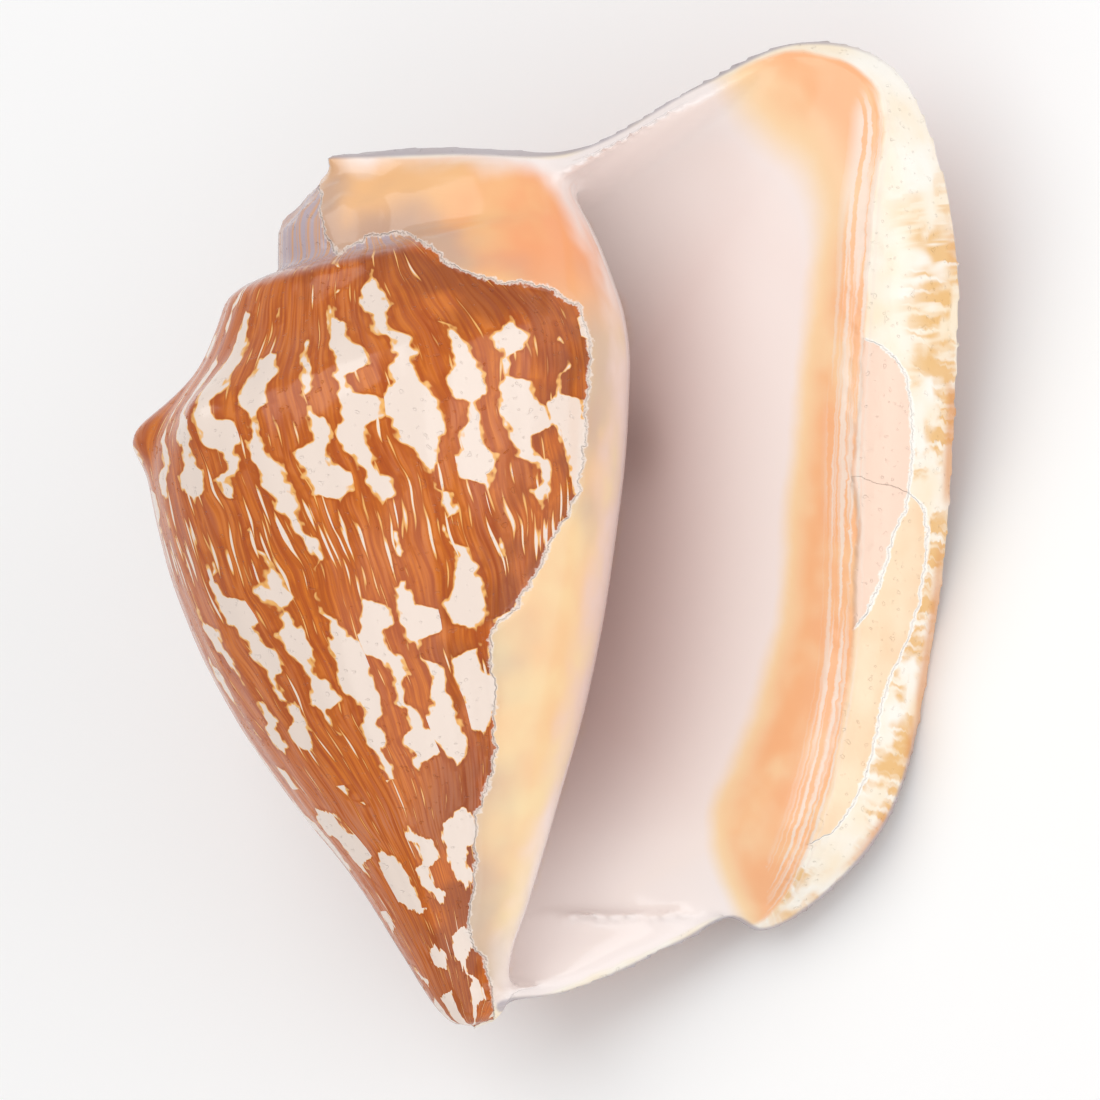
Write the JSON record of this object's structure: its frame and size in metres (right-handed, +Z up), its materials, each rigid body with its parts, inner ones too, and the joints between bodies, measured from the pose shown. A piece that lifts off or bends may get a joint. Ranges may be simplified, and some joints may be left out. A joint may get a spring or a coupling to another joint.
{
  "type": "conch shell",
  "caption": "Broad, heavy conch shell with a knobbed spire and a wide flaring outer lip, lying on its back with the aperture up.",
  "frame": {"origin": "centre of the footprint, on the surface that the shell lies on", "axes": "+Z up from the surface, +Y towards the spire along the shell's length, +X towards the outer lip"},
  "size_m": [0.1416, 0.1652, 0.093],
  "materials": {
    "shell": "glossy natural glaze, brown and white flames over the body, cream and pink aperture"
  },
  "bodies": {
    "root": {"shell": "shell"}
  },
  "joints": []
}
